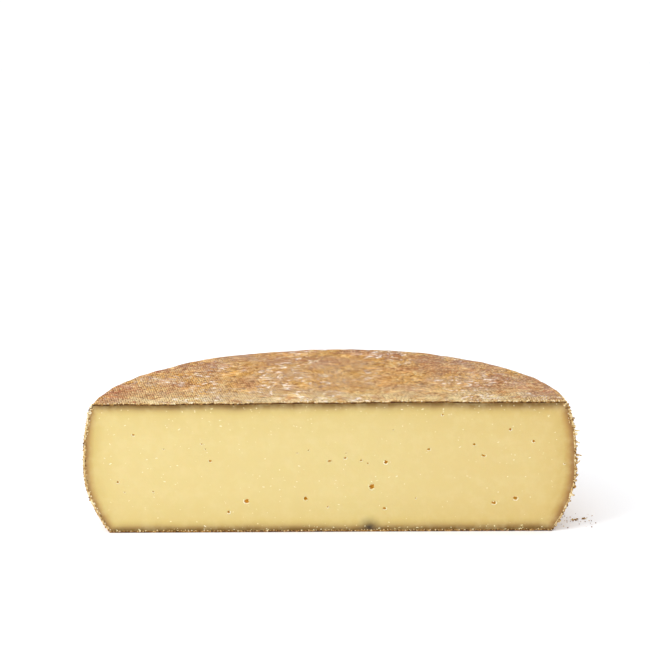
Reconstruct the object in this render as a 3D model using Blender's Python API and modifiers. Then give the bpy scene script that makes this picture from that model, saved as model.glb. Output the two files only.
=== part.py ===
"""Half a wheel of alpine-style gouda, standing on its base with the cut face towards -Y. Metres, +Z up.

The wheel is one solid: a turned half with bulging sides, an uneven rind, a flat cut through its axis, the
small gas eyes that show in the cut, and the flakes of rind that the knife left hanging on one edge of it.
"""

import math
import random

import bmesh
import bpy
from mathutils import Matrix, Vector, noise

MM = 0.001

# The whole wheel. Above its widest line the side is a quarter of an ellipse that ends in the flat top.
# Below that line it draws in faster and faster, and meets the flat base at a corner.
WHEEL_DIAMETER = 0.320
WHEEL_HEIGHT = 0.088
TOP_FLAT_RADIUS = 0.151
BASE_FLAT_RADIUS = 0.145
WIDEST_HEIGHT = 0.0385
FOOT_POWER = 1.75
WHEEL_RADIUS = WHEEL_DIAMETER / 2

# How finely the turned shape is divided.
TURN_STEPS = 76
TOP_RINGS = 12
SHOULDER_STEPS = 13
FOOT_STEPS = 9

# The rind's unevenness: (height of the relief, size of one bump). It fades out towards the flat base.
RIND_RELIEF = ((0.7 * MM, 56 * MM), (0.35 * MM, 17 * MM))
RELIEF_STARTS_ABOVE = 12 * MM

# Eyes that show in the cut: (across from the axis, up from the base, width, height), in millimetres.
EYES_MM = (
    (-126.5, 67.0, 1.7, 1.5),
    (-138.0, 35.0, 1.6, 1.5),
    (-77.0, 49.0, 2.2, 1.5),
    (-66.0, 14.0, 1.9, 1.9),
    (-54.0, 21.5, 3.5, 3.0),
    (-15.5, 23.0, 2.5, 2.7),
    (0.5, 48.5, 2.9, 1.5),
    (10.7, 50.5, 2.0, 1.5),
    (27.7, 31.0, 3.5, 4.0),
    (37.0, 47.5, 2.5, 2.5),
    (36.0, 16.0, 2.4, 1.7),
    (64.7, 56.0, 2.4, 1.5),
    (94.0, 59.0, 2.0, 1.5),
    (100.0, 51.5, 3.2, 1.5),
    (107.0, 19.5, 3.2, 2.2),
    (117.0, 69.0, 1.7, 1.7),
    (121.0, 22.5, 2.9, 2.5),
    (132.0, 61.0, 1.9, 1.7),
)
EYE_DEPTH = 1.0 * MM

# Flakes of rind on the right-hand edge of the cut, where the knife came out.
FLAKE_COUNT = 22
FLAKE_SIZES = (1.6 * MM, 3.0 * MM)
FLAKES_FROM = 0.012
FLAKES_TO = 0.080
FLAKE_SEED = 11

# The two finishes, in the order of their slots on the solid.
RIND = 0
PASTE = 1


def clear_scene():
    """Removes every object, so that the script starts from nothing."""
    for obj in list(bpy.data.objects):
        bpy.data.objects.remove(obj, do_unlink=True)


def new_collection(name):
    """A collection in the scene."""
    collection = bpy.data.collections.new(name)
    bpy.context.scene.collection.children.link(collection)
    return collection


def add_object(name, shape, collection, materials):
    """An object in both finishes, made from a bmesh, which is used up."""
    mesh = bpy.data.meshes.new(name)
    for material in materials:
        mesh.materials.append(material)
    shape.to_mesh(mesh)
    shape.free()
    obj = bpy.data.objects.new(name, mesh)
    collection.objects.link(obj)
    return obj


def add_helper(name, shape, collection, materials, slot):
    """A closed lump in one finish, that is cut out of the cheese or joined to it."""
    for face in shape.faces:
        face.material_index = slot
    helper = add_object(name, shape, collection, materials)
    helper.hide_render = True
    helper.display_type = "WIRE"


def apply_modifiers(obj):
    """Turns what the object's modifiers make into its own mesh."""
    graph = bpy.context.evaluated_depsgraph_get()
    made = bpy.data.meshes.new_from_object(obj.evaluated_get(graph))
    obj.modifiers.clear()
    obj.data = made


def side_radius(height):
    """The wheel's radius at a height above the base."""
    if height >= WIDEST_HEIGHT:
        share = (height - WIDEST_HEIGHT) / (WHEEL_HEIGHT - WIDEST_HEIGHT)
        return TOP_FLAT_RADIUS + (WHEEL_RADIUS - TOP_FLAT_RADIUS) * math.sqrt(max(1 - share**2, 0.0))
    share = (WIDEST_HEIGHT - height) / WIDEST_HEIGHT
    return WHEEL_RADIUS - (WHEEL_RADIUS - BASE_FLAT_RADIUS) * share**FOOT_POWER


def wheel_profile():
    """The outline to turn, at +X: out from the middle of the top, down the side, in under the base."""
    points = [(TOP_FLAT_RADIUS * ring / TOP_RINGS, WHEEL_HEIGHT) for ring in range(TOP_RINGS)]
    for step in range(SHOULDER_STEPS):
        rise = math.cos(math.radians(90) * step / SHOULDER_STEPS)
        height = WIDEST_HEIGHT + (WHEEL_HEIGHT - WIDEST_HEIGHT) * rise
        points.append((side_radius(height), height))
    for step in range(FOOT_STEPS + 1):
        height = WIDEST_HEIGHT * (1 - step / FOOT_STEPS)
        points.append((side_radius(height), height))
    points.append((0.0, 0.0))
    return [Vector((radius, 0.0, height)) for radius, height in points]


def rind_relief(place):
    """How far the rind stands out of the turned shape at a place on it."""
    relief = sum(height * noise.noise(place / size) for height, size in RIND_RELIEF)
    return relief * min(max(place.z / RELIEF_STARTS_ABOVE, 0.0), 1.0)


def turned_half(collection, materials):
    """The half wheel as a smooth turned skin, open at the cut."""
    outline = bmesh.new()
    corners = [outline.verts.new(point) for point in wheel_profile()]
    for start, end in zip(corners, corners[1:]):
        outline.edges.new((start, end))
    obj = add_object("half_wheel", outline, collection, materials)
    turn = obj.modifiers.new("turn", "SCREW")
    turn.axis = "Z"
    turn.angle = math.pi
    turn.steps = turn.render_steps = TURN_STEPS
    turn.use_merge_vertices = True
    turn.merge_threshold = 0.00001
    apply_modifiers(obj)
    return obj


def roughen_and_close(obj):
    """Gives the skin its uneven rind, then closes the cut with one flat face."""
    shape = bmesh.new()
    shape.from_mesh(obj.data)
    bmesh.ops.remove_doubles(shape, verts=shape.verts, dist=0.00001)
    bmesh.ops.recalc_face_normals(shape, faces=shape.faces)
    shape.normal_update()
    cut_edge = {vert for edge in shape.edges if edge.is_boundary for vert in edge.verts}
    moves = {}
    for vert in shape.verts:
        direction = vert.normal.copy()
        if vert in cut_edge:
            direction.y = 0.0
            direction.normalize()
        moves[vert] = direction * rind_relief(vert.co)
    for vert, move in moves.items():
        vert.co += move
    rim = [edge for edge in shape.edges if edge.is_boundary]
    bmesh.ops.contextual_create(shape, geom=rim, mat_nr=PASTE)
    bmesh.ops.recalc_face_normals(shape, faces=shape.faces)
    shape.to_mesh(obj.data)
    shape.free()


def eye_cutters(collection, materials):
    """One closed ball for each eye, half of it inside the cheese, each turned its own way."""
    for number, (across, up, width, height) in enumerate(EYES_MM):
        ball = bmesh.new()
        bmesh.ops.create_icosphere(ball, subdivisions=2, radius=1.0)
        bmesh.ops.rotate(ball, verts=ball.verts, matrix=Matrix.Rotation(number, 3, "X"))
        size = Vector((width * MM / 2, EYE_DEPTH, height * MM / 2))
        bmesh.ops.scale(ball, verts=ball.verts, vec=size)
        bmesh.ops.translate(ball, verts=ball.verts, vec=(across * MM, 0.0, up * MM))
        add_helper(f"eye_{number}", ball, collection, materials, PASTE)


def rind_flakes(collection, materials):
    """Small lumps that hang on the cut's right-hand edge, half sunk in the rind and clear of the cut."""
    draw = random.Random(FLAKE_SEED)
    for number in range(FLAKE_COUNT):
        share = (number + draw.uniform(0.1, 0.9)) / FLAKE_COUNT
        height = FLAKES_FROM + (FLAKES_TO - FLAKES_FROM) * share
        size = draw.uniform(*FLAKE_SIZES)
        lump = bmesh.new()
        bmesh.ops.create_icosphere(lump, subdivisions=1, radius=size / 2)
        stretch = Vector((draw.uniform(0.9, 1.3), draw.uniform(0.7, 1.0), draw.uniform(0.6, 1.0)))
        bmesh.ops.scale(lump, verts=lump.verts, vec=stretch)
        bmesh.ops.rotate(lump, verts=lump.verts, matrix=Matrix.Rotation(draw.uniform(0, 3), 3, "Y"))
        behind_cut = size * draw.uniform(0.75, 1.1)
        place = Vector((side_radius(height) + 0.15 * size, behind_cut, height))
        bmesh.ops.translate(lump, verts=lump.verts, vec=place)
        add_helper(f"flake_{number}", lump, collection, materials, RIND)


def combine(obj, operation, helpers):
    """Cuts the helpers out of the object, or joins them to it, and removes them."""
    step = obj.modifiers.new(operation.lower(), "BOOLEAN")
    step.operation = operation
    step.operand_type = "COLLECTION"
    step.collection = helpers
    step.solver = "EXACT"
    apply_modifiers(obj)
    for helper in list(helpers.objects):
        bpy.data.objects.remove(helper, do_unlink=True)


def centre_over_base(obj):
    """Puts the origin under the middle of the object's box, at the base."""
    corners = [vert.co for vert in obj.data.vertices]
    lowest = Vector(min(corner[axis] for corner in corners) for axis in range(3))
    highest = Vector(max(corner[axis] for corner in corners) for axis in range(3))
    middle = (lowest + highest) / 2
    obj.data.transform(Matrix.Translation((-middle.x, -middle.y, -lowest.z)))


def finish(name, colour, roughness):
    """A plain finish: the scene gives the real one."""
    material = bpy.data.materials.new(name)
    material.use_nodes = True
    shader = material.node_tree.nodes["Principled BSDF"]
    shader.inputs["Base Color"].default_value = (*colour, 1.0)
    shader.inputs["Roughness"].default_value = roughness
    shader.inputs["Metallic"].default_value = 0.0
    return material


def main():
    clear_scene()
    cheese = new_collection("half_cheese")
    helpers = new_collection("cutters")
    washed_rind = finish("washed_rind", (0.36, 0.20, 0.10), 0.8)
    aged_paste = finish("aged_paste", (0.87, 0.71, 0.31), 0.5)
    materials = (washed_rind, aged_paste)
    half_wheel = turned_half(cheese, materials)
    roughen_and_close(half_wheel)
    eye_cutters(helpers, materials)
    combine(half_wheel, "DIFFERENCE", helpers)
    rind_flakes(helpers, materials)
    combine(half_wheel, "UNION", helpers)
    centre_over_base(half_wheel)
    half_wheel.data.shade_smooth()
    half_wheel.data.set_sharp_from_angle(angle=math.radians(35))


main()
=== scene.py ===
# %% [markdown]
# # Half a wheel of alpine gouda
#
# The real object is one half of a low round cheese. It was pressed in cloth, washed and turned for months
# until it grew a brown rind, and then cut through its middle. It lies on its flat base with the cut in
# front. This notebook loads the solid that carries it and dresses it in layers: the rind, the paste, the
# crumbs that the knife tore from the rind, and the small pale crystals that grow in old cheese.

# %% Load the frame
import math
import random

import bmesh
import bpy
from mathutils import Matrix, Vector, kdtree, noise


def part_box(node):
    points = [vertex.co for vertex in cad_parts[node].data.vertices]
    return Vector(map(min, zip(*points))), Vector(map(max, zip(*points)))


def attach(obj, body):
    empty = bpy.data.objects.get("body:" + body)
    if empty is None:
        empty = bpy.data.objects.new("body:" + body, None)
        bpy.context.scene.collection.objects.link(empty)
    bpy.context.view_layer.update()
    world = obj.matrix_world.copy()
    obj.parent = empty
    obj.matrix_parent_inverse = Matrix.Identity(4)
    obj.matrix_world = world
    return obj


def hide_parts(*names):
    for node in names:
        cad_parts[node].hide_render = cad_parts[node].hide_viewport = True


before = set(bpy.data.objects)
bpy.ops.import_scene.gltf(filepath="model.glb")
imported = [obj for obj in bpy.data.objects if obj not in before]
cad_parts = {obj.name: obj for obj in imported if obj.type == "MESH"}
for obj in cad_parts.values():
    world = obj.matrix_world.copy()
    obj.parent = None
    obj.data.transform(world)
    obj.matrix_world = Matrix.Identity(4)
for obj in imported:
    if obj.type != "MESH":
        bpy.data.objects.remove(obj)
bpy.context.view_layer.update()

# %% [markdown]
# ## The wheel's own measures
#
# A cheese wheel is turned round an axis, so everything on it is easiest to place from there. The solid's
# box doesn't show where the axis is, because loose flakes widen it on one side. The flat base does: its
# rim is a true half circle. Half its width is the base's radius, and its middle is the axis. Pieces are
# drawn round an axis at zero with the cut at y = 0, and moved to the real axis when they are finished.

# %% Measure the solid and name the sizes
MM = 0.001
HAIR = 0.001 * MM  # Closer than this counts as touching.
CHEESE = "half_wheel"
WHEEL_RADIUS = 160 * MM
WHEEL_HEIGHT = 88 * MM
TOP_RADIUS = 151 * MM
WIDEST_HEIGHT = 38.5 * MM
FOOT_POWER = 1.75

base_rim = [vert.co.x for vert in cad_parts[CHEESE].data.vertices if vert.co.z < 10 * HAIR]
BASE_RADIUS = (max(base_rim) - min(base_rim)) / 2
AXIS = Vector(((max(base_rim) + min(base_rim)) / 2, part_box(CHEESE)[0].y, 0.0))
print("base radius, mm:", round(BASE_RADIUS / MM, 2), " axis, mm:", [round(a / MM, 2) for a in AXIS])

# %% [markdown]
# ## The camera
#
# The picture was taken from a little above the table, with a lens about twice as long as the frame is
# wide. The values come from fitting a pinhole camera to the outline of the cut. The camera could be aimed
# with a constraint, but a plain matrix says exactly what it does. Read from its end, it tilts the horizon a
# little, looks down, turns to the left, and moves to its place.

# %% Place the camera
SENSOR_MM = 36.0
LENS_MM = 72.0
CAMERA_FROM_AXIS = Vector((21.1, -805.9, 308.5)) * MM
LOOKS_DOWN = math.radians(11.9)
TURNED_LEFT = math.radians(1.58)
HORIZON_TILT = math.radians(-0.85)

camera = bpy.data.objects.new("camera", bpy.data.cameras.new("camera"))
camera.data.sensor_width = SENSOR_MM
camera.data.lens = LENS_MM
camera.data.clip_start = 0.05
camera.data.clip_end = 100.0
camera.matrix_world = (
    Matrix.Translation(AXIS + CAMERA_FROM_AXIS)
    @ Matrix.Rotation(TURNED_LEFT, 4, "Z")
    @ Matrix.Rotation(math.radians(90) - LOOKS_DOWN, 4, "X")
    @ Matrix.Rotation(HORIZON_TILT, 4, "Z")
)
bpy.context.scene.collection.objects.link(camera)
bpy.context.scene.camera = camera
print("camera at, m:", [round(a, 3) for a in camera.location])

# %% [markdown]
# ## Colours and shader nodes
#
# Colours are written the way a colour picker shows them, as sRGB hex. A shader works in linear light, so
# one function turns each colour over. One more adds a node, with its settings and what goes into its
# sockets, so that a material can be read from top to bottom like a recipe. A socket goes by its name or
# by its number. A Map Range takes a value as 0, the range that it comes from as 1 and 2, and the range that
# it goes to as 3 and 4. A colour Mix takes the share as 0 and its two colours as 6 and 7.

# %% Helpers for materials
def linear(colour):
    """An sRGB hex colour as linear red, green, blue and alpha."""
    channels = [int(colour[start : start + 2], 16) / 255 for start in (0, 2, 4)]
    light = [c / 12.92 if c <= 0.04045 else ((c + 0.055) / 1.055) ** 2.4 for c in channels]
    return (*light, 1.0)


def add_node(tree, kind, sockets=None, stops=None, **settings):
    """Adds a node. A socket is given a value or another node's output, and stops fill a colour ramp."""
    node = tree.nodes.new("ShaderNode" + kind)
    for name, value in settings.items():
        setattr(node, name, value)
    for number, (position, colour) in enumerate(stops or []):
        marks = node.color_ramp.elements
        mark = marks[number] if number < 2 else marks.new(position)
        mark.position = position
        mark.color = linear(colour)
    for name, value in (sockets or {}).items():
        if isinstance(value, bpy.types.NodeSocket):
            tree.links.new(value, node.inputs[name])
        else:
            node.inputs[name].default_value = value
    return node


def per(size_mm):
    """The scale that makes a pattern's features this many millimetres wide."""
    return 1 / (size_mm * MM)


def new_material(name, **values):
    """A material, its node tree and its Principled shader, with these values in the shader's sockets."""
    material = bpy.data.materials.new(name)
    material.use_nodes = True
    shader = material.node_tree.nodes["Principled BSDF"]
    for socket, value in values.items():
        shader.inputs[socket.replace("_", " ")].default_value = value
    return material, material.node_tree, shader


print("linear value of a mid grey:", round(linear("808080")[0], 3))

# %% [markdown]
# ## Floor and light
#
# The floor is a wide white sheet, and the room is white all round, so the picture has no horizon. An even
# white room alone would leave the cheese flat, so there are two large soft lamps. The key lamp stands to
# the upper left, in front: it brightens the left of the cut more than the right, and lays the soft shadow
# to the right. The top lamp hangs over the cheese and lifts its top, which the camera sees at a low angle.

# %% Set the floor and the lights
FLOOR_SIZE = 60.0
FLOOR_DROP = 0.05 * MM

floor_material, tree, shader = new_material("white_paper_sweep", Roughness=0.9)
shader.inputs["Base Color"].default_value = linear("FAFCFF")
sheet = bmesh.new()
bmesh.ops.create_grid(sheet, x_segments=1, y_segments=1, size=FLOOR_SIZE / 2)
bmesh.ops.translate(sheet, verts=sheet.verts, vec=(0, 0, -FLOOR_DROP))
floor_mesh = bpy.data.meshes.new("floor")
sheet.to_mesh(floor_mesh)
sheet.free()
floor_mesh.materials.append(floor_material)
floor = bpy.data.objects.new("floor", floor_mesh)
bpy.context.scene.collection.objects.link(floor)

ROOM_STRENGTH = 1.06
room = bpy.data.worlds.new("white_room")
room.use_nodes = True
room.node_tree.nodes["Background"].inputs["Color"].default_value = (1.0, 1.0, 1.0, 1.0)
room.node_tree.nodes["Background"].inputs["Strength"].default_value = ROOM_STRENGTH
bpy.context.scene.world = room
bpy.context.scene.view_settings.view_transform = "Standard"


def soft_lamp(name, place, aim, size, watts):
    """A square lamp that faces the point it is aimed at."""
    lamp = bpy.data.objects.new(name, bpy.data.lights.new(name, "AREA"))
    lamp.data.size = size
    lamp.data.energy = watts
    lamp.location = place
    lamp.rotation_euler = (Vector(aim) - Vector(place)).to_track_quat("-Z", "Y").to_euler()
    bpy.context.scene.collection.objects.link(lamp)


soft_lamp("key_lamp", place=(-1.0, -0.6, 1.0), aim=(0.0, 0.0, 0.05), size=0.8, watts=11.6)
soft_lamp("top_lamp", place=(-0.2, 0.1, 1.7), aim=(0.0, 0.0, 0.0), size=1.6, watts=2.2)

# %% [markdown]
# ## Washed rind
#
# The rind is the cheese's own dried skin, rubbed with brine, so it has no gloss. The press cloth left its
# mark all over it: a golden bead in each mesh of the cloth, about 1.6 mm wide, with dark brown between. No
# two beads have the same tone, which is what makes the rind look alive. Over that the colour wanders from
# ochre to rust, a few spots are worn smoother, and a dusty grey bloom and chalk-white mould lie on top in
# patches. Beside the cut the top is paler, dusted with meal from the torn rind. An image would give this
# too, but patterns at these real sizes have no seam and no edge. The beads are the cells of a Voronoi
# pattern, which wanders a little from its grid. It reads a UV map laid out in millimetres, sheared so that
# each row of beads is half a bead further along than the last.

# %% Make the rind's material
BEAD_MM = 1.65
ROW_MM = 1.5
RUST_FROM_AXIS_MM = (100, 146)
RUST_ABOVE_MM = (55, 82)
MEAL_BEHIND_CUT_MM = (8, 42)
MEAL_ABOVE_MM = (70, 84)
MEAL_FROM_AXIS_MM = (125, 148)

washed_rind, tree, shader = new_material("washed_rind", Roughness=0.82, IOR=1.45)
shader.inputs["Specular IOR Level"].default_value = 0.22
place = add_node(tree, "TexCoord").outputs["Object"]


def patches(tree, place, size_mm, low, high, least=0.0, most=1.0, detail=3.0, roughness=0.6):
    """A share from least to most, in ragged patches of this size. The most may be a share that varies."""
    sockets = {"Vector": place, "Scale": per(size_mm), "Detail": detail, "Roughness": roughness}
    cloud = add_node(tree, "TexNoise", sockets).outputs[0]
    return add_node(tree, "MapRange", {0: cloud, 1: low, 2: high, 3: least, 4: most}).outputs[0]


# The skin's own colour, over centimetres.
wandering = {"Vector": place, "Scale": per(45), "Detail": 4.0, "Distortion": 0.6}
regions = add_node(tree, "TexNoise", wandering)
skin = add_node(
    tree,
    "ValToRGB",
    {0: regions.outputs[0]},
    stops=[(0.34, "CA8C56"), (0.44, "DCA25C"), (0.52, "E6AC50"), (0.60, "E0A862"), (0.68, "D29C5E")],
).outputs[0]

# Rust red gathers on the shoulder, where the rind was rubbed most.
from_axis = add_node(tree, "VectorMath", {0: place, 1: AXIS}, operation="SUBTRACT").outputs[0]
flat = add_node(tree, "VectorMath", {0: from_axis, 1: (1, 1, 0)}, operation="MULTIPLY").outputs[0]
reach = add_node(tree, "VectorMath", {0: flat}, operation="LENGTH").outputs[1]
near, far = RUST_FROM_AXIS_MM
shoulder = add_node(tree, "MapRange", {0: reach, 1: near * MM, 2: far * MM, 3: 0.15, 4: 0.95}).outputs[0]
_, back, height = add_node(tree, "SeparateXYZ", {0: from_axis}).outputs
low, high = RUST_ABOVE_MM
upper = {0: height, 1: low * MM, 2: high * MM, 3: 0.12, 4: shoulder}
shoulder = add_node(tree, "MapRange", upper).outputs[0]
rust = patches(tree, place, 20, low=0.42, high=0.58, most=shoulder, detail=5.0)

# Pale meal, finer than any crumb, lies on the top beside the cut, and less of it near the two ends.
near, far = MEAL_BEHIND_CUT_MM
dusted = add_node(tree, "MapRange", {0: back, 1: near * MM, 2: far * MM, 3: 0.85, 4: 0.0}).outputs[0]
near, far = MEAL_FROM_AXIS_MM
dusted = add_node(tree, "MapRange", {0: reach, 1: near * MM, 2: far * MM, 3: dusted, 4: 0.1}).outputs[0]
low, high = MEAL_ABOVE_MM
dusted = add_node(tree, "MapRange", {0: height, 1: low * MM, 2: high * MM, 3: 0.0, 4: dusted}).outputs[0]
meal = patches(tree, place, 11, low=0.4, high=0.57, most=dusted, detail=6.0, roughness=0.7)

# The cloth's beads. A slow wobble of a millimetre keeps their rows from looking printed.
cloth = add_node(tree, "UVMap", uv_map="cloth").outputs[0]
wobble = add_node(tree, "TexNoise", {"Vector": place, "Scale": per(9), "Detail": 2.0}).outputs["Color"]
cloth = add_node(tree, "VectorMath", {0: cloth, 1: wobble}, operation="ADD").outputs[0]
cloth = add_node(tree, "SeparateXYZ", {0: cloth})
row = add_node(tree, "Math", {0: cloth.outputs[1], 1: 1 / ROW_MM}, operation="MULTIPLY").outputs[0]
column = add_node(tree, "Math", {0: cloth.outputs[0], 1: 1 / BEAD_MM}, operation="MULTIPLY").outputs[0]
column = add_node(tree, "Math", {0: row, 1: 0.5, 2: column}, operation="MULTIPLY_ADD").outputs[0]
mesh_place = add_node(tree, "CombineXYZ", {0: column, 1: row}).outputs[0]
cells = add_node(
    tree, "TexVoronoi", {"Vector": mesh_place, "Scale": 1.0, "Randomness": 0.45}, voronoi_dimensions="2D"
)
beads = add_node(
    tree, "MapRange", {0: cells.outputs["Distance"], 1: 0.62, 2: 0.2}, interpolation_type="SMOOTHSTEP"
).outputs[0]

# Each bead has its own tone, and small groups of neighbours lean the same way, to light or to dark.
own = add_node(tree, "SeparateXYZ", {0: cells.outputs["Color"]})
groups = patches(tree, place, 3.6, low=0.3, high=0.7, most=0.62, detail=2.0)
lean = add_node(tree, "Math", {0: own.outputs[0], 1: 0.38, 2: groups}, operation="MULTIPLY_ADD").outputs[0]
dark_bead = add_node(tree, "MapRange", {0: lean, 1: 0.18, 2: 0.46, 3: 0.85, 4: 0.0}).outputs[0]
light_bead = add_node(tree, "MapRange", {0: lean, 1: 0.54, 2: 0.86, 3: 0.0, 4: 0.85}).outputs[0]

# Grey bloom and chalk-white mould catch on some beads more than on others. The mould keeps to some areas.
caught = add_node(tree, "MapRange", {0: own.outputs[1], 1: 0.2, 2: 0.8, 3: 0.15, 4: 0.58}).outputs[0]
bloom = patches(tree, place, 26, low=0.44, high=0.62, most=caught, detail=5.0, roughness=0.65)
chalky = add_node(tree, "MapRange", {0: own.outputs[2], 1: 0.1, 2: 0.6, 3: 0.3, 4: 0.95}).outputs[0]
mould = patches(tree, place, 5, low=0.54, high=0.62, most=chalky, detail=6.0, roughness=0.7)
mould = patches(tree, place, 50, low=0.44, high=0.56, most=mould, detail=1.0)

# Between the beads the skin is dark brown, less so where it is worn smooth.
worn = patches(tree, place, 15, low=0.37, high=0.47, least=0.45, most=0.85)
gap = add_node(tree, "MapRange", {0: beads, 1: 0.0, 2: 1.0, 3: worn, 4: 0.0}).outputs[0]

# Here and there the rind has a short dark crack.
crack = add_node(tree, "Mapping", {0: place, 3: (0.4, 1.0, 1.0)}).outputs[0]
crack = add_node(tree, "TexNoise", {"Vector": crack, "Scale": per(5), "Detail": 1.5}).outputs[0]
crack = add_node(tree, "MapRange", {0: crack, 1: 0.75, 2: 0.77, 3: 0.0, 4: 0.85}).outputs[0]

layers = [
    (rust, "B06044"),
    (dark_bead, "7E4E28"),
    (light_bead, "F8DC9E"),
    (meal, "F4E0A8"),
    (bloom, "C4B09A"),
    (gap, "6A4620"),
    (mould, "F0E6DA"),
    (crack, "3A2817"),
]
for share, colour in layers:
    skin = add_node(tree, "Mix", {0: share, 6: skin, 7: linear(colour)}, data_type="RGBA").outputs[2]
tree.links.new(skin, shader.inputs["Base Color"])

# Relief too fine for the mesh: the beads, a grain, and small bumps.
BEAD_RELIEF_MM, GRAIN_RELIEF_MM, BUMP_RELIEF_MM = 0.4, 0.3, 0.5
raised = add_node(tree, "MapRange", {0: beads, 1: 0.0, 2: 1.0, 3: 0.0, 4: worn}).outputs[0]
grain = add_node(tree, "TexNoise", {"Vector": place, "Scale": per(1.1), "Detail": 3.0}).outputs[0]
bumps = add_node(tree, "TexNoise", {"Vector": place, "Scale": per(4.5), "Detail": 2.0}).outputs[0]
relief = add_node(tree, "Math", {0: raised, 1: BEAD_RELIEF_MM}, operation="MULTIPLY").outputs[0]
for pattern, pattern_mm in ((grain, GRAIN_RELIEF_MM), (bumps, BUMP_RELIEF_MM)):
    layered = {0: pattern, 1: pattern_mm, 2: relief}
    relief = add_node(tree, "Math", layered, operation="MULTIPLY_ADD").outputs[0]
relief = add_node(tree, "Bump", {"Height": relief, "Distance": MM, "Strength": 1.0})
tree.links.new(relief.outputs[0], shader.inputs["Normal"])
print("nodes in the rind's material:", len(tree.nodes))

# %% [markdown]
# ## Torn rind
#
# Where the knife went through, the dry rind didn't slice but crumbled. Its inside is the colour of cream
# and tan, with brown specks of the outer skin, and it is as dull as dry bread. Each crumb carries its own
# tone, and a fine noise breaks it up.

# %% Make the torn rind's material
torn_rind, tree, shader = new_material("torn_rind", Roughness=0.8, IOR=1.45)
shader.inputs["Specular IOR Level"].default_value = 0.2
place = add_node(tree, "TexCoord").outputs["Object"]
speckle = add_node(tree, "TexNoise", {"Vector": place, "Scale": per(1.5), "Detail": 3.0})
tone = add_node(tree, "Attribute", attribute_name="tone")
mixed = add_node(tree, "Math", {0: speckle.outputs[0], 1: 1.6, 2: -0.8}, operation="MULTIPLY_ADD")
mixed = add_node(tree, "Math", {0: mixed.outputs[0], 1: tone.outputs["Fac"]}, operation="ADD")
crumb_colour = add_node(
    tree,
    "ValToRGB",
    {0: mixed.outputs[0]},
    stops=[(0.05, "4C3018"), (0.30, "8F6534"), (0.55, "C7A264"), (0.80, "E6D2A0"), (1.0, "F0E4C4")],
)
tree.links.new(crumb_colour.outputs[0], shader.inputs["Base Color"])
print("torn rind ready")

# %% [markdown]
# ## Aged paste
#
# The paste is dense and a little see-through, like wax, so light enters it and spreads a millimetre or
# two before it comes out. It dries from the rind inwards, which shows as a brown edge that fades to yellow
# over about a centimetre, and to pale yellow further in. It is dark and olive along the top and the base,
# and lighter and redder at both ends. Towards the right the brown band is a little wider, and the paste
# is painted a little darker and warmer there, as painted shade where the key lamp's light is weaker. The
# mesh stores how deep each point lies under the rind and how far that rind faces sideways, and two colour
# ramps read them. The walls of the little eyes are painted ochre: painted shade, with the warm colour of
# light that has bounced many times in them.

# %% Make the paste's material
EDGE_BAND_MM = 28.0
LEVEL_EDGE_MM = (
    (1.2, "725320"),
    (2.1, "7C602E"),
    (3.4, "9C804C"),
    (4.7, "B89E62"),
    (6.2, "C5AE6D"),
    (8.2, "CDB776"),
    (11.0, "CFBA7B"),
    (26.0, "D2BE81"),
)
UPRIGHT_EDGE_MM = (
    (1.4, "987443"),
    (2.4, "A07B48"),
    (4.3, "B8995A"),
    (7.0, "C7B06E"),
    (13.0, "CFBA7B"),
    (26.0, "D2BE81"),
)
RIGHT_BAND_AND_SHADE_MM = (20, 150)
EYE_SHADE_MM = (0.05, 0.45)
STAIN_AT = Vector((26.1, 0.0, 2.9)) * MM
STAIN_REACH = 10.5 * MM

aged_paste, tree, shader = new_material("aged_paste", Roughness=0.45, IOR=1.45)
shader.inputs["Specular IOR Level"].default_value = 0.3
shader.inputs["Subsurface Weight"].default_value = 0.3
shader.inputs["Subsurface Radius"].default_value = (1.0, 0.6, 0.25)
shader.inputs["Subsurface Scale"].default_value = 1.8 * MM
place = add_node(tree, "TexCoord").outputs["Object"]

# The band wavers by about a millimetre, and it is a little wider on the right.
depth = add_node(tree, "Attribute", attribute_name="rind_depth_mm").outputs["Fac"]
drift = add_node(tree, "TexNoise", {"Vector": place, "Scale": per(18), "Detail": 3.0}).outputs[0]
drift = add_node(tree, "Math", {0: drift, 1: 2.4, 2: -1.2}, operation="MULTIPLY_ADD").outputs[0]
depth = add_node(tree, "Math", {0: depth, 1: drift}, operation="ADD").outputs[0]
across, back, _ = add_node(tree, "SeparateXYZ", {0: place}).outputs
near, far = RIGHT_BAND_AND_SHADE_MM
right_band_and_shade = add_node(tree, "MapRange", {0: across, 1: near * MM, 2: far * MM}).outputs[0]
scale = add_node(tree, "MapRange", {0: right_band_and_shade, 3: 1.0, 4: 0.9}).outputs[0]
depth = add_node(tree, "Math", {0: depth, 1: scale}, operation="MULTIPLY").outputs[0]
depth = add_node(tree, "Math", {0: depth, 1: 1 / EDGE_BAND_MM}, operation="MULTIPLY").outputs[0]
level, upright = (
    add_node(tree, "ValToRGB", {0: depth}, stops=[(mm / EDGE_BAND_MM, colour) for mm, colour in edge])
    for edge in (LEVEL_EDGE_MM, UPRIGHT_EDGE_MM)
)
sideways = add_node(tree, "Attribute", attribute_name="sideways").outputs["Fac"]
edges = {0: sideways, 6: level.outputs[0], 7: upright.outputs[0]}
paste = add_node(tree, "Mix", edges, data_type="RGBA").outputs[2]
# Painted shade: towards the right the paste is painted a little darker and warmer, where the key lamp's
# light is weaker.
painted_right_shade = {0: right_band_and_shade, 6: paste, 7: linear("FDF7F0")}
paste = add_node(tree, "Mix", painted_right_shade, data_type="RGBA", blend_type="MULTIPLY").outputs[2]

# Faint cloudiness over the whole cut.
cloud = patches(tree, place, 7, low=0.45, high=0.7, most=0.22, detail=4.0)

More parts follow.
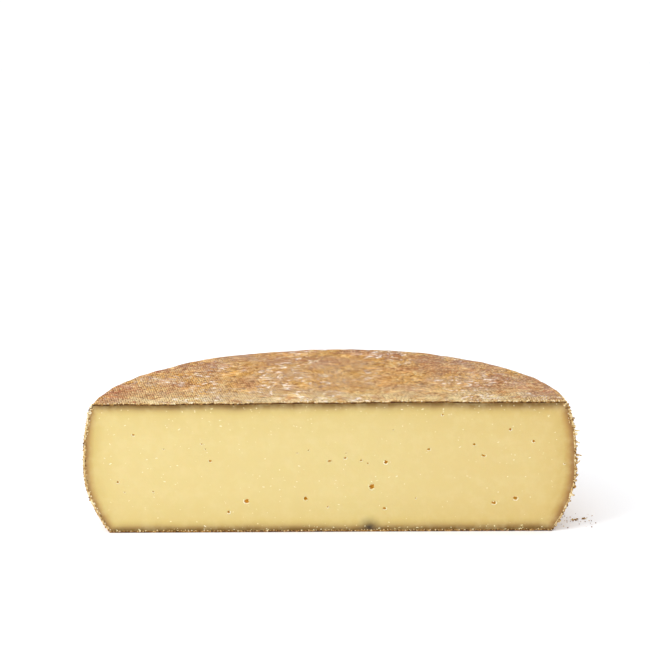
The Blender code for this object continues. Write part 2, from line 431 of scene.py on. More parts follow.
# A grey stain at the bottom edge, where something dark was pressed into the cheese.
smudge = add_node(tree, "TexNoise", {"Vector": place, "Scale": per(3), "Detail": 3.0}).outputs["Color"]
smudge = add_node(tree, "VectorMath", {0: smudge, 3: 3 * MM}, operation="SCALE").outputs[0]
smudge = add_node(tree, "VectorMath", {0: place, 1: smudge}, operation="ADD").outputs[0]
centre = AXIS + STAIN_AT + Vector((1.5, 1.5, 1.5)) * MM
stain = add_node(tree, "VectorMath", {0: smudge, 1: centre}, operation="DISTANCE").outputs[1]
stain = add_node(tree, "MapRange", {0: stain, 1: 0.0, 2: STAIN_REACH, 3: 1.0, 4: 0.0}).outputs[0]
stain = add_node(tree, "Math", {0: stain, 1: 2.0}, operation="POWER").outputs[0]

# All that shows behind the plane of the cut is the walls of the eyes. They get painted shade: a stronger
# ochre the further back they lie, for the warm light that has bounced many times in them.
behind = add_node(tree, "Math", {0: back, 1: AXIS.y}, operation="SUBTRACT").outputs[0]
near, far = EYE_SHADE_MM
painted_eye_shade = add_node(tree, "MapRange", {0: behind, 1: near * MM, 2: far * MM, 3: 0.0, 4: 1.0}).outputs[0]

for share, colour in ((cloud, "DCCC96"), (stain, "3C3026"), (painted_eye_shade, "C88A1E")):
    paste = add_node(tree, "Mix", {0: share, 6: paste, 7: linear(colour)}, data_type="RGBA").outputs[2]
tree.links.new(paste, shader.inputs["Base Color"])

# The blade's drag, as very low level ridges, and a grain.
drag = add_node(tree, "Mapping", {0: place, 3: (0.02, 1.0, 1.0)}).outputs[0]
drag = add_node(tree, "TexNoise", {"Vector": drag, "Scale": per(2.2), "Detail": 3.0}).outputs[0]
grain = add_node(tree, "TexNoise", {"Vector": place, "Scale": per(1.3), "Detail": 2.0}).outputs[0]
CUT_RELIEF_MM = 0.06
ridges = add_node(tree, "Math", {0: drag, 1: CUT_RELIEF_MM}, operation="MULTIPLY").outputs[0]
ridges = {0: grain, 1: CUT_RELIEF_MM, 2: ridges}
ridges = add_node(tree, "Math", ridges, operation="MULTIPLY_ADD").outputs[0]
ridges = add_node(tree, "Bump", {"Height": ridges, "Distance": MM, "Strength": 1.0})
tree.links.new(ridges.outputs[0], shader.inputs["Normal"])
print("nodes in the paste's material:", len(tree.nodes))

# %% [markdown]
# ## Crystals
#
# The pale flecks are crystals that form as the protein breaks down. They are chalky and matt, and light
# goes into them a little, so they look cream rather than white.

# %% Make the crystals' material
chalk, tree, shader = new_material("chalky_crystal_and_eye_highlight", Roughness=0.7, IOR=1.5)
shader.inputs["Subsurface Weight"].default_value = 0.3
shader.inputs["Subsurface Radius"].default_value = (1.0, 0.8, 0.5)
shader.inputs["Subsurface Scale"].default_value = 1 * MM
place = add_node(tree, "TexCoord").outputs["Object"]
tint = add_node(tree, "TexNoise", {"Vector": place, "Scale": per(6), "Detail": 2.0})
tint = add_node(tree, "ValToRGB", {0: tint.outputs[0]}, stops=[(0.35, "DECF94"), (0.65, "F2E6BC")])
tree.links.new(tint.outputs[0], shader.inputs["Base Color"])
print("crystals' material ready")

# %% [markdown]
# ## Turning the rind
#
# The rind is a turned shape, so it could be a Screw modifier or a spin. A spin works on the mesh itself,
# so the uneven skin can be worked in straight after. The outline runs out from the middle of the top, over
# the tight shoulder, and down the bulging side to the corner at the base. The base stays one flat face,
# because the cheese rests on it.

# %% Draw the outline and turn it half way round
TOP_ROWS = 95
SHOULDER_ROWS = 44
FOOT_ROWS = 30
TURN_STEPS = 440


def side_radius(height):
    """The wheel's radius at a height above the base."""
    if height >= WIDEST_HEIGHT:
        share = (height - WIDEST_HEIGHT) / (WHEEL_HEIGHT - WIDEST_HEIGHT)
        return TOP_RADIUS + (WHEEL_RADIUS - TOP_RADIUS) * math.sqrt(max(1 - share**2, 0.0))
    share = (WIDEST_HEIGHT - height) / WIDEST_HEIGHT
    return WHEEL_RADIUS - (WHEEL_RADIUS - BASE_RADIUS) * share**FOOT_POWER


heights = [WHEEL_HEIGHT] * TOP_ROWS
radii = [TOP_RADIUS * row / TOP_ROWS for row in range(TOP_ROWS)]
for row in range(SHOULDER_ROWS):
    rise = math.cos(math.radians(90) * row / SHOULDER_ROWS)
    heights.append(WIDEST_HEIGHT + (WHEEL_HEIGHT - WIDEST_HEIGHT) * rise)
    radii.append(side_radius(heights[-1]))
for row in range(FOOT_ROWS + 1):
    heights.append(WIDEST_HEIGHT * (1 - row / FOOT_ROWS))
    radii.append(side_radius(heights[-1]))

rind_shape = bmesh.new()
rind_tones = rind_shape.verts.layers.float.new("tone")
outline = [rind_shape.verts.new((radius, 0.0, height)) for radius, height in zip(radii, heights)]
outline += [rind_shape.edges.new(pair) for pair in zip(outline, outline[1:])]
bmesh.ops.spin(
    rind_shape, geom=outline, cent=(0, 0, 0), axis=(0, 0, 1), angle=math.pi, steps=TURN_STEPS
)
bmesh.ops.remove_doubles(rind_shape, verts=rind_shape.verts, dist=HAIR)
bmesh.ops.recalc_face_normals(rind_shape, faces=rind_shape.faces)
print("turned skin:", len(rind_shape.verts), "points,", len(rind_shape.faces), "faces")

# %% [markdown]
# ## An uneven skin
#
# No hand-turned cheese is smooth. Broad swells come from the press and the shelf, smaller lumps from the
# curd, and shallow dents from handling. Noise gives each of them by its own height and width. Points on
# the cut only move within its plane, so that it stays flat, and the relief dies out towards the base.

# %% Work the relief into the skin
SWELLS_MM = ((0.7, 56), (0.35, 17))
LUMPS_MM = ((0.22, 6.5), (0.12, 2.8))
DENT_DEPTH_MM, DENT_WIDTH_MM, DENT_FROM = 1.0, 12, 0.32
DENT_PLACE = Vector((7.0, 3.0, 1.0))
RELIEF_STARTS_ABOVE = 12 * MM


def rind_relief(place):
    """How far the rind stands out of the turned shape, in metres."""
    relief = sum(height * noise.noise(place / (width * MM)) for height, width in SWELLS_MM + LUMPS_MM)
    dent = noise.noise(place / (DENT_WIDTH_MM * MM) + DENT_PLACE) - DENT_FROM
    relief -= DENT_DEPTH_MM * max(dent, 0.0)
    return relief * MM * min(max(place.z / RELIEF_STARTS_ABOVE, 0.0), 1.0)


rind_shape.normal_update()
if sum(vert.normal.z for vert in rind_shape.verts if vert.co.z > WHEEL_HEIGHT - MM) < 0:
    bmesh.ops.reverse_faces(rind_shape, faces=rind_shape.faces)
    rind_shape.normal_update()
cut_edge = [vert for vert in rind_shape.verts if abs(vert.co.y) < HAIR]
on_cut = set(cut_edge)
moves = []
for vert in rind_shape.verts:
    direction = vert.normal.copy()
    if vert in on_cut:
        direction.y = 0.0
        direction.normalize()
    moves.append(direction * rind_relief(vert.co))
for vert, move in zip(rind_shape.verts, moves):
    vert.co += move
print("relief from", round(min(m.length for m in moves) / MM, 2), "to",
      round(max(m.length for m in moves) / MM, 2), "mm")

# %% [markdown]
# ## Laying the cloth's map
#
# The net of the cloth has to run flat over the top and round the side, so it can't be read from the space
# around the cheese. The skin's UV map holds real millimetres: across the top they are the ground plan,
# turned a little as the cloth lay, and on the side they are the way round and the way up.

# %% Lay out the UV map in millimetres
CLOTH_TURN = Matrix.Rotation(math.radians(14), 3, "Z")
TOP_MAP_DEPTH = 4 * MM

cloth_map = rind_shape.loops.layers.uv.new("cloth")
for face in rind_shape.faces:
    middle = face.calc_center_median()
    on_top = middle.z > WHEEL_HEIGHT - TOP_MAP_DEPTH and middle.xy.length < TOP_RADIUS
    for loop in face.loops:
        spot = loop.vert.co / MM
        if on_top:
            loop[cloth_map].uv = (CLOTH_TURN @ spot).xy
        else:
            drawn_in = WHEEL_RADIUS / MM - spot.xy.length
            up = spot.z + drawn_in if middle.z > WIDEST_HEIGHT else spot.z - drawn_in
            loop[cloth_map].uv = (math.atan2(spot.y, spot.x) * WHEEL_RADIUS / MM, up)
print("cloth map laid on", len(rind_shape.faces), "faces")

# %% [markdown]
# ## Closing the base and the cut
#
# The skin is still open below and in front. An edge across the base gives the base its straight side, and
# what is then open is the outline of the cut. The cut's face is inset three times, which leaves a narrow
# frame of small faces where the rind was cut through. The first two lines inside the frame are roughened,
# and the last is laid flat again, so that the paste can meet it. Each line also stores how pale the torn
# rind is there. What is left inside the frame is pushed back into a pocket for the paste.

# %% Close the rind and sink the pocket
RIND, TORN = 0, 1
SECTION_STEPS = 3
SECTION_STEP = 0.4 * MM
SECTION_ROUGHNESS = 0.3 * MM
SECTION_SEED = 5
SIDE_TONES = (0.45, 0.65, 0.7, 0.6)
# Dark lines along the top are partly painted shade under the row of crumbs, and the base's outermost line
# is a painted contact shadow where the cut meets the table.
TOP_TONES_AND_SHADE = (0.5, 0.15, 0.08, 0.08)
BASE_TONES_AND_CONTACT_SHADE = (0.05, 0.2, 0.25, 0.25)
TOP_TONES_FROM_MM, TOP_TONES_FULL_MM, BASE_TONES_BELOW_MM = 80, 86, 2.5
BASE_SIDE_STEP = 1.5 * MM
POCKET_DEPTH = 14 * MM

foot = [vert for vert in cut_edge if vert.co.z < HAIR]
base_side = rind_shape.edges.new(foot)
bmesh.ops.subdivide_edges(rind_shape, edges=[base_side], cuts=round(2 * BASE_RADIUS / BASE_SIDE_STEP))
open_edges = [edge for edge in rind_shape.edges if len(edge.link_faces) < 2]
base_loop = [edge for edge in open_edges if max(v.co.z for v in edge.verts) < HAIR]
bmesh.ops.contextual_create(rind_shape, geom=base_loop, mat_nr=RIND)
cut_loop = [edge for edge in rind_shape.edges if edge.is_boundary]
cut = bmesh.ops.contextual_create(rind_shape, geom=cut_loop, mat_nr=TORN)["faces"][0]
bmesh.ops.recalc_face_normals(rind_shape, faces=rind_shape.faces)
rim = [vert.co.copy() for vert in cut.verts]
base = min(rind_shape.faces, key=lambda face: face.calc_center_median().z)
for loop in base.loops:
    loop[cloth_map].uv = (CLOTH_TURN @ loop.vert.co / MM).xy


def set_tones(verts, ring):
    """Stores how pale the cut rind is: cream at the sides, dark along the top and the base, partly as
    painted shade.
    """
    for vert in verts:
        up_mm = vert.co.z / MM
        share = (up_mm - TOP_TONES_FROM_MM) / (TOP_TONES_FULL_MM - TOP_TONES_FROM_MM)
        share = min(max(share, 0.0), 1.0)
        vert[rind_tones] = SIDE_TONES[ring] * (1 - share) + TOP_TONES_AND_SHADE[ring] * share
        if up_mm < BASE_TONES_BELOW_MM:
            vert[rind_tones] = BASE_TONES_AND_CONTACT_SHADE[ring]


set_tones(cut.verts, 0)
draw = random.Random(SECTION_SEED)
for step in range(SECTION_STEPS):
    inset = bmesh.ops.inset_region(rind_shape, faces=[cut], thickness=SECTION_STEP, use_even_offset=True)
    for face in inset["faces"]:
        face.material_index = TORN
    set_tones(cut.verts, step + 1)
    if step < SECTION_STEPS - 1:
        for vert in cut.verts:
            vert.co.y += draw.uniform(-1.0, 1.0) * SECTION_ROUGHNESS
for vert in cut.verts:
    vert.co.y = 0.0
paste_edge = [vert.co.copy() for vert in cut.verts]
pushed = bmesh.ops.extrude_face_region(rind_shape, geom=[cut])["geom"]
bmesh.ops.delete(rind_shape, geom=[cut], context="FACES_ONLY")
pushed = [item for item in pushed if isinstance(item, bmesh.types.BMVert)]
bmesh.ops.translate(rind_shape, verts=pushed, vec=(0, POCKET_DEPTH, 0))
print("rim points:", len(rim), " open edges left:", sum(not e.is_manifold for e in rind_shape.edges),
      " faces of torn rind:", sum(face.material_index == TORN for face in rind_shape.faces))

# %% [markdown]
# ## Handing a piece over
#
# Every finished piece goes the same way. It is moved to the real axis, becomes an object at the origin,
# gets its materials and rides with the cheese. The rind and the paste together stand for the plain solid,
# which then no longer shows.

# %% Hand over the rind
SHARP_FROM = math.radians(40)


def hand_over(name, shape, materials):
    """Turns a bmesh into a piece that rides with the cheese."""
    bmesh.ops.translate(shape, verts=shape.verts, vec=AXIS)
    mesh = bpy.data.meshes.new(name)
    shape.to_mesh(mesh)
    shape.free()
    for material in materials:
        mesh.materials.append(material)
    mesh.shade_smooth()
    mesh.set_sharp_from_angle(angle=SHARP_FROM)
    piece = bpy.data.objects.new(name, mesh)
    bpy.context.scene.collection.objects.link(piece)
    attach(piece, "root")
    triangles = sum(len(face.vertices) - 2 for face in mesh.polygons)
    print(name, "has", triangles, "triangles")
    return piece


rind = hand_over("rind", rind_shape, [washed_rind, torn_rind])
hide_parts(CHEESE)

# %% [markdown]
# ## The paste
#
# The paste is a slab that fills the rind's pocket. It starts from the pocket's own outline, so the two
# meet all round. Its front is one large face, which can't hold the change of colour near the rind. So the
# lone face is first sliced into a fine grid, by level planes and then by upright ones, and only then drawn
# back to a slab.

# %% Fill the pocket and slice its front
GRID = 1.6 * MM


def slice_through(shape, point, direction):
    """Cuts every face of a shape along a plane, and keeps both sides."""
    everything = [*shape.verts, *shape.edges, *shape.faces]
    bmesh.ops.bisect_plane(shape, geom=everything, dist=HAIR, plane_co=point, plane_no=direction)


paste_shape = bmesh.new()
paste_shape.faces.new([paste_shape.verts.new(point) for point in paste_edge])
half_width = max(abs(point.x) for point in paste_edge)
for row in range(1, int(WHEEL_HEIGHT / GRID)):
    slice_through(paste_shape, (0, 0, row * GRID), (0, 0, 1))
for column in range(-int(half_width / GRID), int(half_width / GRID) + 1):
    slice_through(paste_shape, (column * GRID, 0, 0), (1, 0, 0))
border = [edge for edge in paste_shape.edges if edge.is_boundary]
walls = bmesh.ops.extrude_edge_only(paste_shape, edges=border)["geom"]
pushed = [item for item in walls if isinstance(item, bmesh.types.BMVert)]
bmesh.ops.translate(paste_shape, verts=pushed, vec=(0, POCKET_DEPTH, 0))
border = [edge for edge in paste_shape.edges if edge.is_boundary]
bmesh.ops.contextual_create(paste_shape, geom=border)
bmesh.ops.recalc_face_normals(paste_shape, faces=paste_shape.faces)
print("paste:", len(paste_shape.faces), "faces, open edges:",
      sum(not edge.is_manifold for edge in paste_shape.edges))
paste_piece = hand_over("paste", paste_shape, [aged_paste])
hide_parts(CHEESE)

# %% [markdown]
# ## The eyes
#
# Gas that collects while the cheese ripens leaves small holes, called eyes. They could be painted on, but
# then they would look flat from every side. Each one is a lumpy ball that is cut out of the front. They
# are placed where the real cheese has them, the larger ones with their own widths and heights.

# %% Cut the eyes
EYES_MM = (
    (-126.5, 67.0, 1.7, 1.5),
    (-138.0, 35.0, 1.6, 1.5),
    (-77.0, 49.0, 2.2, 1.5),
    (-66.0, 14.0, 1.9, 1.9),
    (-54.0, 21.5, 3.5, 3.0),
    (-15.5, 23.0, 2.5, 2.7),
    (0.5, 48.5, 2.9, 1.5),
    (10.7, 50.5, 2.0, 1.5),
    (27.7, 31.0, 3.5, 4.0),
    (37.0, 47.5, 2.5, 2.5),
    (36.0, 16.0, 2.4, 1.7),
    (64.7, 56.0, 2.4, 1.5),
    (94.0, 59.0, 2.0, 1.5),
    (100.0, 51.5, 3.2, 1.5),
    (107.0, 19.5, 3.2, 2.2),
    (117.0, 69.0, 1.7, 1.7),
    (121.0, 22.5, 2.9, 2.5),
    (132.0, 61.0, 1.9, 1.7),
)
SMALL_EYES_MM = (
    (-133.7, 28.1),
    (-115.1, 28.3),
    (-106.9, 57.3),
    (-82.3, 60.6),
    (-79.9, 57.1),
    (-20.3, 54.0),
    (-13.0, 55.9),
    (-1.1, 17.2),
    (11.3, 53.6),
    (21.0, 48.8),
    (25.3, 46.7),
    (41.8, 69.2),
    (56.3, 22.9),
    (73.5, 79.0),
    (152.2, 45.6),
)
SMALL_EYE_SIZES_MM = (0.8, 1.2)
DEEPEST_EYE_MM, EYE_DEPTH_SHARE = 1.0, 0.4
EYE_ROUNDNESS, EYE_LUMPS, EYE_FINENESS = 3, 0.75, 4.5
EYE_TURN = 0.6
EYE_SHARP_FROM = math.radians(30)
EYE_SEED = 21


def lumpy_ball(shape, middle, width, depth, height, turn, roundness=2, lumps=0.12, fineness=3):
    """Adds a ball with these three thicknesses in millimetres, turned in the plane of the cut."""
    matrix = Matrix.Translation(Vector(middle) * MM) @ Matrix.Rotation(turn, 4, "Y")
    ball = bmesh.ops.create_icosphere(shape, subdivisions=roundness, radius=0.5, matrix=Matrix())["verts"]
    for vert in ball:
        vert.co *= 1 + lumps * noise.noise(vert.co * fineness + Vector(middle))
        vert.co = matrix @ (vert.co * Vector((width, depth, height)) * MM)
    return ball


draw = random.Random(EYE_SEED)
eyes = list(EYES_MM)
for across_mm, up_mm in SMALL_EYES_MM:
    size = draw.uniform(*SMALL_EYE_SIZES_MM)
    eyes.append((across_mm, up_mm, size * draw.uniform(1.0, 1.4), size))
eye_shape = bmesh.new()
for across_mm, up_mm, width, height in eyes:
    thick = 2 * min(EYE_DEPTH_SHARE * height, DEEPEST_EYE_MM)
    form = (draw.uniform(-EYE_TURN, EYE_TURN), EYE_ROUNDNESS, EYE_LUMPS, EYE_FINENESS)
    lumpy_ball(eye_shape, (across_mm, 0.0, up_mm), width, thick, height, *form)
bmesh.ops.translate(eye_shape, verts=eye_shape.verts, vec=AXIS)
eye_mesh = bpy.data.meshes.new("eyes")
eye_shape.to_mesh(eye_mesh)
eye_shape.free()
eye_balls = bpy.data.objects.new("eyes", eye_mesh)
bpy.context.scene.collection.objects.link(eye_balls)

cutting = paste_piece.modifiers.new("eyes", "BOOLEAN")
cutting.operation = "DIFFERENCE"
cutting.solver = "MANIFOLD"
cutting.object = eye_balls
graph = bpy.context.evaluated_depsgraph_get()
cut_mesh = bpy.data.meshes.new_from_object(paste_piece.evaluated_get(graph))
paste_piece.modifiers.clear()
paste_piece.data = cut_mesh
bpy.data.objects.remove(eye_balls, do_unlink=True)
cut_mesh.shade_smooth()
cut_mesh.set_sharp_from_angle(angle=EYE_SHARP_FROM)
print("eyes:", len(eyes), " paste faces now:", len(cut_mesh.polygons))

# %% [markdown]
# ## Depth under the rind
#
# The paste's colour depends on how far a point is from the outside of the rind, and on which way that rind
# faces. Finding the nearest of many points one by one is slow, so points all round the rim go into a tree
# that is made for that question. A point near a corner looks at every part of the rim that is about as
# near, so that one colour turns softly into the other. Deeper in, both colours are nearly the same, so
# points there take the middle value. Both answers are stored on the mesh.

# %% Store the depth under the rind
RIM_PARTS = 4
CORNER_BLEND = 1.25
TURNING_BAND_MM = 18
MIDDLE_VALUE = 0.5


def walk_round(points):
    """(start, end, direction out of the cut, distance walked) for each stretch of the rim, in order."""
    middle = Vector((0.0, 0.0, WHEEL_HEIGHT / 2))
    walked = 0.0
    for start, end in zip(points, points[1:] + points[:1]):
        step = end - start
        out = Vector((step.z, 0.0, -step.x)).normalized()
        if out.dot(start - middle) < 0:
            out = -out
        yield start, end, out, walked
        walked += step.length


samples = []
for start, end, out, walked in walk_round(rim):
    samples += [(start.lerp(end, part / RIM_PARTS), abs(out.x)) for part in range(RIM_PARTS)]
rim_tree = kdtree.KDTree(len(samples))
for number, (point, _) in enumerate(samples):
    rim_tree.insert(Vector((point.x, 0.0, point.z)), number)
rim_tree.balance()
depths, turns = [], []
for vert in cut_mesh.vertices:
    spot = vert.co - AXIS
    spot.y = 0.0
    deep = rim_tree.find(spot)[2]
    depths.append(deep / MM)
    if deep < TURNING_BAND_MM * MM:
        near_parts = rim_tree.find_range(spot, deep * CORNER_BLEND + MM)
        around = [samples[number][1] for _, number, _ in near_parts]
        turns.append(sum(around) / len(around))
    else:
        turns.append(MIDDLE_VALUE)
for name, values in (("rind_depth_mm", depths), ("sideways", turns)):
    cut_mesh.attributes.new(name, "FLOAT", "POINT").data.foreach_set("value", values)
print("deepest point, mm:", round(max(depths), 1), " parts of the rim looked at:", len(samples))

# %% [markdown]
# ## Crumbs along the cut
#
# The cut's edge is the detail that makes the rind look real. Knives tear it, so pale crumbs line the edge
# all round. They are small and golden in a single line along the top, and sparse just above the base. At
# both ends they are cream with brown, in a strip that is about 2 mm wide on the left and at the upper
# corners and half as wide down the right. The upper left corner is the palest. On the right some lie on
# the shoulder behind the cut too, and down both sides the first brown beads of the rind stand out against
# the light. Each crumb is a small lumpy ball, and all of them are one mesh. Nothing may reach below the
# table, so every point stops at height zero.

# %% Line the cut with crumbs
CRUMB_LUMPS, CRUMB_FINENESS = 0.9, 3


def crumb(shape, tones, middle, size_mm, tone, draw):
    """Adds one lumpy crumb, whose points all carry its tone."""
    stretch = Vector((draw.uniform(0.7, 1.3), draw.uniform(0.6, 1.0), draw.uniform(0.7, 1.3)))
    turn = Matrix.Rotation(draw.uniform(0, math.tau), 3, Vector((draw.random(), draw.random(), 1)))
    own_lumps = Vector((draw.uniform(0, 90), draw.uniform(0, 90), 0))
    ball = bmesh.ops.create_icosphere(shape, subdivisions=2, radius=0.5, matrix=Matrix())
    for vert in ball["verts"]:
        swell = 1 + CRUMB_LUMPS * noise.noise(vert.co * CRUMB_FINENESS + own_lumps)
        vert.co = turn @ (vert.co * stretch * swell * size_mm * MM) + middle
        vert.co.z = max(vert.co.z, 0.0)
        vert[tones] = tone


def edge_style(out):
    """The crumbs on a part of the rim that faces this way: gap, sizes and ways in, in mm, and tones."""
    if out.z > 0.8:
        return 0.8, (0.45, 0.9), (-0.35, 0.15), (0.4, 0.55, 0.7, 0.9)
    if out.z > 0.2 and out.x < 0:
        return 0.32, (0.5, 1.1), (-0.2, 2.2), (0.5, 0.7, 0.9, 1.1)
    if out.z > 0.2:
        return 0.3, (0.5, 1.1), (-0.2, 2.6), (0.35, 0.45, 0.55, 0.8)
    if out.z < -0.9:
        return 2.2, (0.45, 0.9), (0.7, 1.6), (0.45, 0.6, 0.75)
    if out.x < 0:
        return 0.55, (0.4, 0.95), (-0.1, 2.2), (0.25, 0.45, 0.55, 0.7, 1.0)
    return 0.7, (0.45, 1.0), (-0.1, 1.1), (0.2, 0.35, 0.5, 0.65, 0.9)


CRUMB_SEED = 8
CRUMB_GAP_SPREAD = (0.7, 1.3)
CRUMB_FORWARD_MM = (-0.1, 0.3)
BEAD_GAP_MM = 2.3
BEAD_GAP_SPREAD = (0.8, 1.2)
BEAD_BACK_MM, BEAD_IN_MM = (0.6, 1.2), (-0.1, 0.3)
BEAD_SIZES_MM = (1.0, 1.4)
BEAD_TONES = (0.15, 0.35)
SIDE_SLOPE = 0.85
SHOULDER_CRUMBS = 150
SHOULDER_ACROSS_MM = (128, 152)
SHOULDER_BACK_MM = 11
SHOULDER_SIZES_MM = (0.5, 1.0)
SHOULDER_TONES = (0.5, 0.6, 0.75, 0.9)

draw = random.Random(CRUMB_SEED)
crumb_shape = bmesh.new()
tones = crumb_shape.verts.layers.float.new("tone")
next_crumb = next_bead = 0.0
for start, end, out, walked in walk_round(rim):
    gap, sizes, ways_in, choices = edge_style(out)
    length = (end - start).length
    while next_crumb < walked + length:
        spot = start.lerp(end, (next_crumb - walked) / length)
        inwards = out * draw.uniform(*ways_in) * MM
        forward = Vector((0, draw.uniform(*CRUMB_FORWARD_MM) * MM, 0))
        size = draw.uniform(*sizes)
        crumb(crumb_shape, tones, spot - inwards - forward, size, draw.choice(choices), draw)
        next_crumb += gap * MM * draw.uniform(*CRUMB_GAP_SPREAD)
    while next_bead < walked + length:
        spot = start.lerp(end, (next_bead - walked) / length)
        behind = Vector((0, draw.uniform(*BEAD_BACK_MM) * MM, 0))
        if abs(out.z) < SIDE_SLOPE:
            middle = spot + behind - out * draw.uniform(*BEAD_IN_MM) * MM
            size = draw.uniform(*BEAD_SIZES_MM)
            crumb(crumb_shape, tones, middle, size, draw.uniform(*BEAD_TONES), draw)
        next_bead += BEAD_GAP_MM * MM * draw.uniform(*BEAD_GAP_SPREAD)
near, far = SHOULDER_ACROSS_MM
upper_rim = [point for point in rim if point.z > WHEEL_HEIGHT / 2]
right_shoulder = [point for point in upper_rim if near < point.x / MM < far]
for _ in range(SHOULDER_CRUMBS):
    back = Vector((0, SHOULDER_BACK_MM * draw.random() ** 1.5 * MM, 0))
    tone = draw.choice(SHOULDER_TONES)
    middle = draw.choice(right_shoulder) + back
    crumb(crumb_shape, tones, middle, draw.uniform(*SHOULDER_SIZES_MM), tone, draw)
print("crumbs so far, in points:", len(crumb_shape.verts), " shoulder points:", len(right_shoulder))

# %% [markdown]
# ## Shreds and lumps on the right
#
# The knife came out on the right, and there it pulled the rind outwards. Thin shreds stick out a few
# millimetres, each made as a row of crumbs that get smaller, and larger lumps hang between them.

# %% Hang shreds and lumps on the right
SHREDS_MM = ((67.6, 3.3, 0.0), (60.3, 2.8, -0.9), (51.2, 3.8, -0.5), (46.0, 2.4, 1.2), (24.4, 2.0, -0.3))
HANGING_MM = (
    (75.5, 1.5),
    (71.0, 2.0),
    (65.4, 2.2),
    (57.0, 1.6),
    (48.0, 1.9),
    (41.5, 1.6),
    (38.0, 1.7),
    (33.5, 1.4),
    (29.6, 2.5),
    (20.5, 1.5),
    (16.8, 1.9),
    (7.2, 2.3),
    (3.5, 1.6),
)
SHRED_CRUMBS = 7
SHRED_ROOT_MM, SHRED_TAPER_MM = 1.6, 0.9
SHRED_TONES = (0.35, 0.6, 0.8, 0.9)
LUMP_TONES = (0.25, 0.5, 0.75)

for height_mm, length_mm, drop_mm in SHREDS_MM:
    back = draw.uniform(0.3, 1.0)
    for step in range(SHRED_CRUMBS):
        share = step / (SHRED_CRUMBS - 1)
        up = height_mm + drop_mm * share**2 + draw.uniform(-0.15, 0.15)
        beyond = side_radius(height_mm * MM) / MM + length_mm * share - 0.3
        middle = Vector((beyond, back, up)) * MM
        size = SHRED_ROOT_MM - SHRED_TAPER_MM * share
        crumb(crumb_shape, tones, middle, size, draw.choice(SHRED_TONES), draw)
for height_mm, size_mm in HANGING_MM:
    for tone in LUMP_TONES:
        jolt = Vector((draw.uniform(0.0, 0.8), draw.uniform(0.1, 1.3), draw.uniform(-0.7, 0.7)))
        middle = Vector((side_radius(height_mm * MM) / MM, 0, height_mm)) + jolt
        crumb(crumb_shape, tones, middle * MM, size_mm * draw.uniform(0.55, 0.85), tone, draw)
hand_over("rind_crumbs", crumb_shape, [torn_rind])

# %% [markdown]
# ## Crystals in the cut
#
# The crystals are flat specks, more than half sunk in the paste. This wheel has more of them towards its
# top, so the draw favours the upper half. A few are long, where the blade dragged one along. More flecks,
# of pale rind that the knife carried in, lie just within the top and the base. Beside each eye a row of
# pale lumps in the same material is a painted highlight: it stands for the eye's far wall where the lamp
# lights it, mostly on the lower side.

# %% Strew the crystals and raise the painted highlights by the eyes
CRYSTALS = 300
TOP_FLECKS = 40
BASE_FLECKS = 70
CRYSTALS_ACROSS_MM = 148
CRYSTALS_FROM_RIM_MM = 5
CRYSTAL_SIZES_MM = (0.4, 1.1)
CRYSTAL_STRETCHES = (1.0, 1.2, 1.2, 1.6, 2.6)
CRYSTAL_PLACE_MM, CRYSTAL_THICK_MM = 0.1, 0.35
CRYSTAL_TURN, CRYSTAL_LUMPS = 0.7, 0.5
HIGHLIGHT_LUMPS = 7
HIGHLIGHT_STEP = math.radians(26)
HIGHLIGHT_SIDES = (-50, -50, -125)
HIGHLIGHT_RISE_MM = 0.35
CRYSTAL_SEED = 33

draw = random.Random(CRYSTAL_SEED)
crystal_and_highlight_shape = bmesh.new()
heights_mm = [4 + 80 * draw.random() ** 0.75 for _ in range(CRYSTALS)]
heights_mm += [draw.uniform(81.5, 85.8) for _ in range(TOP_FLECKS)]
heights_mm += [1.2 + 4.0 * draw.random() ** 2 for _ in range(BASE_FLECKS)]
for up_mm in heights_mm:
    across_mm = draw.uniform(-CRYSTALS_ACROSS_MM, CRYSTALS_ACROSS_MM)
    if side_radius(up_mm * MM) / MM - abs(across_mm) < CRYSTALS_FROM_RIM_MM:
        continue
    size = draw.uniform(*CRYSTAL_SIZES_MM)
    middle = (across_mm, CRYSTAL_PLACE_MM, up_mm)
    thicknesses = (size * draw.choice(CRYSTAL_STRETCHES), CRYSTAL_THICK_MM, size)
    turn = draw.uniform(-CRYSTAL_TURN, CRYSTAL_TURN)
    lumpy_ball(crystal_and_highlight_shape, middle, *thicknesses, turn, 1, CRYSTAL_LUMPS)
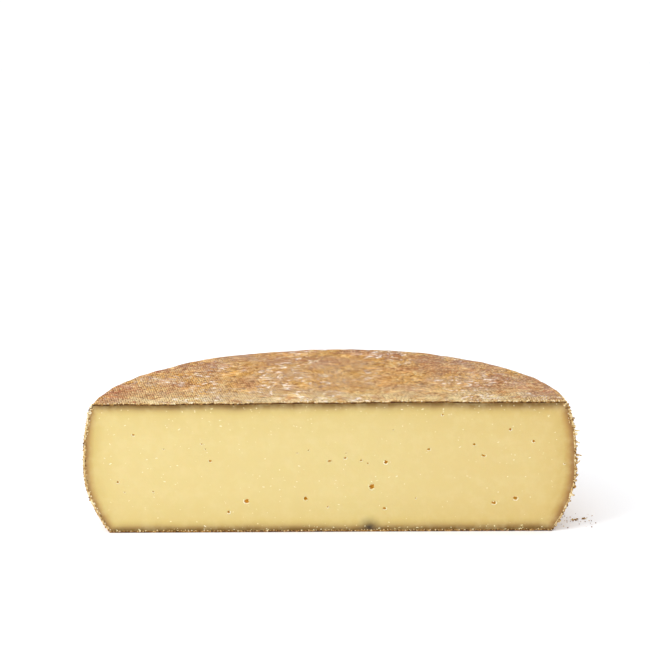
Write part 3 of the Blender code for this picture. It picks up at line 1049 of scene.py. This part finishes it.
# Painted highlight: pale lumps on the lower side of each eye, where the lamp lights the eye's far wall.
for across_mm, up_mm, width, height in eyes:
    side = math.radians(draw.choice(HIGHLIGHT_SIDES))
    highlight_size = 0.35 + 0.2 * min(width, height)
    for step in range(HIGHLIGHT_LUMPS):
        angle = side + HIGHLIGHT_STEP * (step - HIGHLIGHT_LUMPS // 2)
        right = across_mm + math.cos(angle) * (width / 2 + 0.3 * highlight_size)
        up = up_mm + math.sin(angle) * (height / 2 + 0.3 * highlight_size)
        lumpy_ball(crystal_and_highlight_shape, (right, 0.0, up), highlight_size, HIGHLIGHT_RISE_MM, highlight_size, 0.0, 1, 0.3)
hand_over("crystals", crystal_and_highlight_shape, [chalk])

# %% [markdown]
# ## Fallen crumbs
#
# A few dozen crumbs dropped to the table beside the foot of the cut, on the side where the knife came out.
# Most lie alone, and the rest in two small clumps.

# %% Drop a few crumbs
CLUMPS_MM = ((163.5, 20.0), (169.0, 21.5))
CLUMP_CRUMBS = 7
CLUMP_SPREAD_MM, CLUMP_SIZES_MM = (1.1, 0.8), (0.8, 1.4)
LOOSE_CRUMBS = 40
LOOSE_MIDDLE_MM = (165.0, 20.0)
LOOSE_SPREAD_MM, LOOSE_SIZES_MM = (8.0, 6.0), (0.35, 0.8)
FALLEN_REACH_MM = (150, 176)
FALLEN_TONES = (0.15, 0.6)
FALLEN_SEED = 4

draw = random.Random(FALLEN_SEED)
fallen_shape = bmesh.new()
tones = fallen_shape.verts.layers.float.new("tone")
spots = [(*clump, *CLUMP_SPREAD_MM, *CLUMP_SIZES_MM) for clump in CLUMPS_MM for _ in range(CLUMP_CRUMBS)]
spots += [(*LOOSE_MIDDLE_MM, *LOOSE_SPREAD_MM, *LOOSE_SIZES_MM)] * LOOSE_CRUMBS
for across_mm, back_mm, spread_across, spread_back, smallest, largest in spots:
    size = draw.uniform(smallest, largest)
    spot = Vector((draw.gauss(across_mm, spread_across), draw.gauss(back_mm, spread_back), 0.25 * size))
    if FALLEN_REACH_MM[0] < spot.x < FALLEN_REACH_MM[1]:
        crumb(fallen_shape, tones, spot * MM, size, draw.uniform(*FALLEN_TONES), draw)
hand_over("fallen_crumbs", fallen_shape, [torn_rind])
